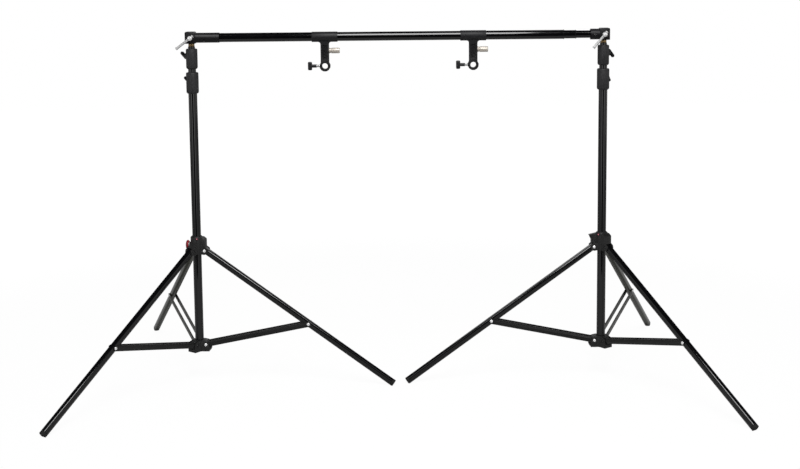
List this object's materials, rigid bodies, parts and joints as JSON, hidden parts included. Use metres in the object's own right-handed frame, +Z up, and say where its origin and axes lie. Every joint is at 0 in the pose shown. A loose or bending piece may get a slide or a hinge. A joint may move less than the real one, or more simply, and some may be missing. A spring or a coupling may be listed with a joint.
{
  "type": "backdrop stand with telescopic crossbar",
  "caption": "Folding light stands carrying a telescopic crossbar with sliding accessory brackets, for hanging a backdrop or lamps",
  "frame": {"origin": "on the floor under the middle of the bounding box, with both stands open and the risers down", "axes": "+X along the crossbar to the viewer's right in the picture, +Y away from the viewer, +Z up"},
  "size_m": [1.8651, 1.0098, 1.0225],
  "materials": {
    "tube_black": "gloss black anodised, fine drawing lines",
    "leg_black": "gloss black anodised profile",
    "strip_black": "satin black painted strip",
    "cast_black": "dark cast metal with a fine textured coat",
    "moulded_black": "satin black moulding",
    "bright_steel": "bright plated steel",
    "brass": "turned brass",
    "rubber": "matt black rubber"
  },
  "bodies": {
    "left_column": {"left_lower_tube": "tube_black", "left_base_hub": "cast_black", "left_lower_collar": "moulded_black"},
    "left_middle_riser": {"left_middle_piston": "moulded_black", "left_middle_tube": "tube_black", "left_upper_collar": "moulded_black"},
    "left_top_riser": {"left_top_piston": "moulded_black", "left_top_tube": "tube_black", "left_spigot": "brass"},
    "left_leg_hub": {"left_leg_hub": "cast_black"},
    "left_inner_leg": {"left_inner_leg": "leg_black", "left_inner_foot": "rubber"},
    "left_front_leg": {"left_front_leg": "leg_black", "left_front_foot": "rubber"},
    "left_back_leg": {"left_back_leg": "leg_black", "left_back_foot": "rubber"},
    "left_inner_brace": {"left_inner_brace": "strip_black"},
    "left_front_brace": {"left_front_brace": "strip_black"},
    "left_back_brace": {"left_back_brace": "strip_black"},
    "left_lower_knob": {"left_lower_knob": "moulded_black"},
    "left_upper_knob": {"left_upper_knob": "moulded_black"},
    "left_hub_knob": {"left_hub_knob": "moulded_black"},
    "right_column": {"right_lower_tube": "tube_black", "right_base_hub": "cast_black", "right_lower_collar": "moulded_black"},
    "right_middle_riser": {"right_middle_piston": "moulded_black", "right_middle_tube": "tube_black", "right_upper_collar": "moulded_black"},
    "right_top_riser": {"right_top_piston": "moulded_black", "right_top_tube": "tube_black", "right_spigot": "brass"},
    "right_leg_hub": {"right_leg_hub": "cast_black"},
    "right_inner_leg": {"right_inner_leg": "leg_black", "right_inner_foot": "rubber"},
    "right_front_leg": {"right_front_leg": "leg_black", "right_front_foot": "rubber"},
    "right_back_leg": {"right_back_leg": "leg_black", "right_back_foot": "rubber"},
    "right_inner_brace": {"right_inner_brace": "strip_black"},
    "right_front_brace": {"right_front_brace": "strip_black"},
    "right_back_brace": {"right_back_brace": "strip_black"},
    "right_lower_knob": {"right_lower_knob": "moulded_black"},
    "right_upper_knob": {"right_upper_knob": "moulded_black"},
    "right_hub_knob": {"right_hub_knob": "moulded_black"},
    "bar_outer": {"left_socket": "cast_black", "bar_tube_1": "tube_black"},
    "bar_middle": {"bar_tube_2": "tube_black"},
    "bar_inner": {"bar_tube_3": "tube_black", "bar_end_screw": "bright_steel", "right_socket": "cast_black"},
    "left_clamp_screw": {"left_clamp_screw": "bright_steel"},
    "left_tommy_bar": {"left_tommy_bar": "bright_steel"},
    "right_clamp_screw": {"right_clamp_screw": "bright_steel"},
    "right_tommy_bar": {"right_tommy_bar": "bright_steel"},
    "bracket_1": {"bracket_1": "moulded_black", "bracket_1_stud": "bright_steel"},
    "bracket_1_knob": {"bracket_1_knob": "moulded_black"},
    "bracket_2": {"bracket_2": "moulded_black", "bracket_2_stud": "bright_steel"},
    "bracket_2_knob": {"bracket_2_knob": "moulded_black"}
  },
  "joints": [
    {"name": "left_lower_riser", "type": "slide", "parent": "left_column", "child": "left_middle_riser", "axis": [0, 0, 1], "range_m": [0, 0.64]},
    {"name": "left_upper_riser", "type": "slide", "parent": "left_middle_riser", "child": "left_top_riser", "axis": [0, 0, 1], "range_m": [0, 0.66]},
    {"name": "left_fold", "type": "slide", "parent": "left_column", "child": "left_leg_hub", "axis": [0, 0, 1], "range_m": [0, 0.40012]},
    {"name": "left_inner_leg_fold", "type": "hinge", "parent": "left_leg_hub", "child": "left_inner_leg", "pos_m": [-0.56368, -0.03157, 0.3885], "axis": [0.1219, 0.9925, 0], "range_deg": [0, 52.05]},
    {"name": "left_front_leg_fold", "type": "hinge", "parent": "left_leg_hub", "child": "left_front_leg", "pos_m": [-0.60274, -0.04815, 0.3885], "axis": [0.7986, -0.6018, 0], "range_deg": [0, 52.05]},
    {"name": "left_back_leg_fold", "type": "hinge", "parent": "left_leg_hub", "child": "left_back_leg", "pos_m": [-0.59757, -0.00603, 0.3885], "axis": [-0.9205, -0.3907, 0], "range_deg": [0, 52.05]},
    {"name": "left_inner_brace_fold", "type": "hinge", "parent": "left_column", "child": "left_inner_brace", "pos_m": [-0.56616, -0.03126, 0.1105], "axis": [-0.1219, -0.9925, 0], "range_deg": [0, 73.56]},
    {"name": "left_front_brace_fold", "type": "hinge", "parent": "left_column", "child": "left_front_brace", "pos_m": [-0.60124, -0.04615, 0.1105], "axis": [-0.7986, 0.6018, 0], "range_deg": [0, 73.56]},
    {"name": "left_back_brace_fold", "type": "hinge", "parent": "left_column", "child": "left_back_brace", "pos_m": [-0.5966, -0.00833, 0.1105], "axis": [0.9205, 0.3907, 0], "range_deg": [0, 73.56]},
    {"name": "left_lower_knob_spin", "type": "hinge", "parent": "left_column", "child": "left_lower_knob", "pos_m": [-0.588, -0.02858, 0.8807], "axis": [-0.5736, 0.8192, 0], "continuous": true},
    {"name": "left_upper_knob_spin", "type": "hinge", "parent": "left_middle_riser", "child": "left_upper_knob", "pos_m": [-0.588, -0.02858, 0.9542], "axis": [-0.866, 0.5, 0], "continuous": true},
    {"name": "left_hub_knob_spin", "type": "hinge", "parent": "left_leg_hub", "child": "left_hub_knob", "pos_m": [-0.588, -0.02858, 0.4045], "axis": [-0.9925, 0.1219, 0], "continuous": true},
    {"name": "right_upper_riser", "type": "slide", "parent": "right_top_riser", "child": "right_middle_riser", "axis": [0, 0, -1], "range_m": [0, 0.66]},
    {"name": "right_lower_riser", "type": "slide", "parent": "right_middle_riser", "child": "right_column", "axis": [0, 0, -1], "range_m": [0, 0.64]},
    {"name": "right_fold", "type": "slide", "parent": "right_column", "child": "right_leg_hub", "axis": [0, 0, 1], "range_m": [0, 0.40012]},
    {"name": "right_inner_leg_fold", "type": "hinge", "parent": "right_leg_hub", "child": "right_inner_leg", "pos_m": [0.56359, -0.03071, 0.3885], "axis": [0.0872, -0.9962, 0], "range_deg": [0, 52.05]},
    {"name": "right_front_leg_fold", "type": "hinge", "parent": "right_leg_hub", "child": "right_front_leg", "pos_m": [0.60205, -0.04865, 0.3885], "axis": [0.8192, 0.5736, 0], "range_deg": [0, 52.05]},
    {"name": "right_back_leg_fold", "type": "hinge", "parent": "right_leg_hub", "child": "right_back_leg", "pos_m": [0.59835, -0.00637, 0.3885], "axis": [-0.9063, 0.4226, 0], "range_deg": [0, 52.05]},
    {"name": "right_inner_brace_fold", "type": "hinge", "parent": "right_column", "child": "right_inner_brace", "pos_m": [0.56608, -0.0305, 0.1105], "axis": [-0.0872, 0.9962, 0], "range_deg": [0, 73.56]},
    {"name": "right_front_brace_fold", "type": "hinge", "parent": "right_column", "child": "right_front_brace", "pos_m": [0.60062, -0.0466, 0.1105], "axis": [-0.8192, -0.5736, 0], "range_deg": [0, 73.56]},
    {"name": "right_back_brace_fold", "type": "hinge", "parent": "right_column", "child": "right_back_brace", "pos_m": [0.5973, -0.00864, 0.1105], "axis": [0.9063, -0.4226, 0], "range_deg": [0, 73.56]},
    {"name": "right_lower_knob_spin", "type": "hinge", "parent": "right_column", "child": "right_lower_knob", "pos_m": [0.588, -0.02858, 0.8807], "axis": [0.5878, 0.809, 0], "continuous": true},
    {"name": "right_upper_knob_spin", "type": "hinge", "parent": "right_middle_riser", "child": "right_upper_knob", "pos_m": [0.588, -0.02858, 0.9492], "axis": [0.866, 0.5, 0], "continuous": true},
    {"name": "right_hub_knob_spin", "type": "hinge", "parent": "right_leg_hub", "child": "right_hub_knob", "pos_m": [0.588, -0.02858, 0.4045], "axis": [-0.5736, 0.8192, 0], "continuous": true},
    {"name": "left_swivel", "type": "hinge", "parent": "left_top_riser", "child": "bar_outer", "pos_m": [-0.588, -0.02858, 0.9805], "axis": [0, 0, 1], "range_deg": [-90, 90]},
    {"name": "bar_tube_2_slide", "type": "slide", "parent": "bar_outer", "child": "bar_middle", "axis": [1, 0, 0], "range_m": [-0.03, 0.87]},
    {"name": "bar_tube_3_slide", "type": "slide", "parent": "bar_middle", "child": "bar_inner", "axis": [1, 0, 0], "range_m": [-0.03, 0.88]},
    {"name": "right_swivel", "type": "hinge", "parent": "bar_inner", "child": "right_top_riser", "pos_m": [0.588, -0.02858, 0.9805], "axis": [0, 0, 1], "range_deg": [-90, 90]},
    {"name": "left_clamp_spin", "type": "hinge", "parent": "bar_outer", "child": "left_clamp_screw", "pos_m": [-0.588, -0.02858, 1.005], "axis": [0, -1, 0], "continuous": true},
    {"name": "left_tommy_slide", "type": "slide", "parent": "left_clamp_screw", "child": "left_tommy_bar", "axis": [-0.7986, 0, -0.6018], "range_m": [-0.0394, 0]},
    {"name": "right_clamp_spin", "type": "hinge", "parent": "bar_inner", "child": "right_clamp_screw", "pos_m": [0.588, -0.02858, 1.005], "axis": [0, -1, 0], "continuous": true},
    {"name": "right_tommy_slide", "type": "slide", "parent": "right_clamp_screw", "child": "right_tommy_bar", "axis": [-0.6428, 0, -0.766], "range_m": [-0.0394, 0]},
    {"name": "bracket_1_slide", "type": "slide", "parent": "bar_outer", "child": "bracket_1", "axis": [1, 0, 0], "range_m": [-0.25, 0.15]},
    {"name": "bracket_1_knob_spin", "type": "hinge", "parent": "bracket_1", "child": "bracket_1_knob", "pos_m": [-0.208, -0.02858, 0.921], "axis": [-1, 0, 0], "continuous": true},
    {"name": "bracket_2_slide", "type": "slide", "parent": "bar_outer", "child": "bracket_2", "axis": [1, 0, 0], "range_m": [-0.15, 0.2]},
    {"name": "bracket_2_knob_spin", "type": "hinge", "parent": "bracket_2", "child": "bracket_2_knob", "pos_m": [0.2155, -0.02858, 0.921], "axis": [-1, 0, 0], "continuous": true}
  ],
  "couplings": [
    {"joint": "left_inner_leg_fold", "follows": "left_fold", "rad_per_m": 2.2697},
    {"joint": "left_front_leg_fold", "follows": "left_fold", "rad_per_m": 2.2697},
    {"joint": "left_back_leg_fold", "follows": "left_fold", "rad_per_m": 2.2697},
    {"joint": "left_inner_brace_fold", "follows": "left_fold", "rad_per_m": 3.2083},
    {"joint": "left_front_brace_fold", "follows": "left_fold", "rad_per_m": 3.2083},
    {"joint": "left_back_brace_fold", "follows": "left_fold", "rad_per_m": 3.2083},
    {"joint": "right_upper_riser", "follows": "left_upper_riser", "ratio": 1},
    {"joint": "right_lower_riser", "follows": "left_lower_riser", "ratio": 1},
    {"joint": "right_inner_leg_fold", "follows": "right_fold", "rad_per_m": 2.2697},
    {"joint": "right_front_leg_fold", "follows": "right_fold", "rad_per_m": 2.2697},
    {"joint": "right_back_leg_fold", "follows": "right_fold", "rad_per_m": 2.2697},
    {"joint": "right_inner_brace_fold", "follows": "right_fold", "rad_per_m": 3.2083},
    {"joint": "right_front_brace_fold", "follows": "right_fold", "rad_per_m": 3.2083},
    {"joint": "right_back_brace_fold", "follows": "right_fold", "rad_per_m": 3.2083}
  ]
}
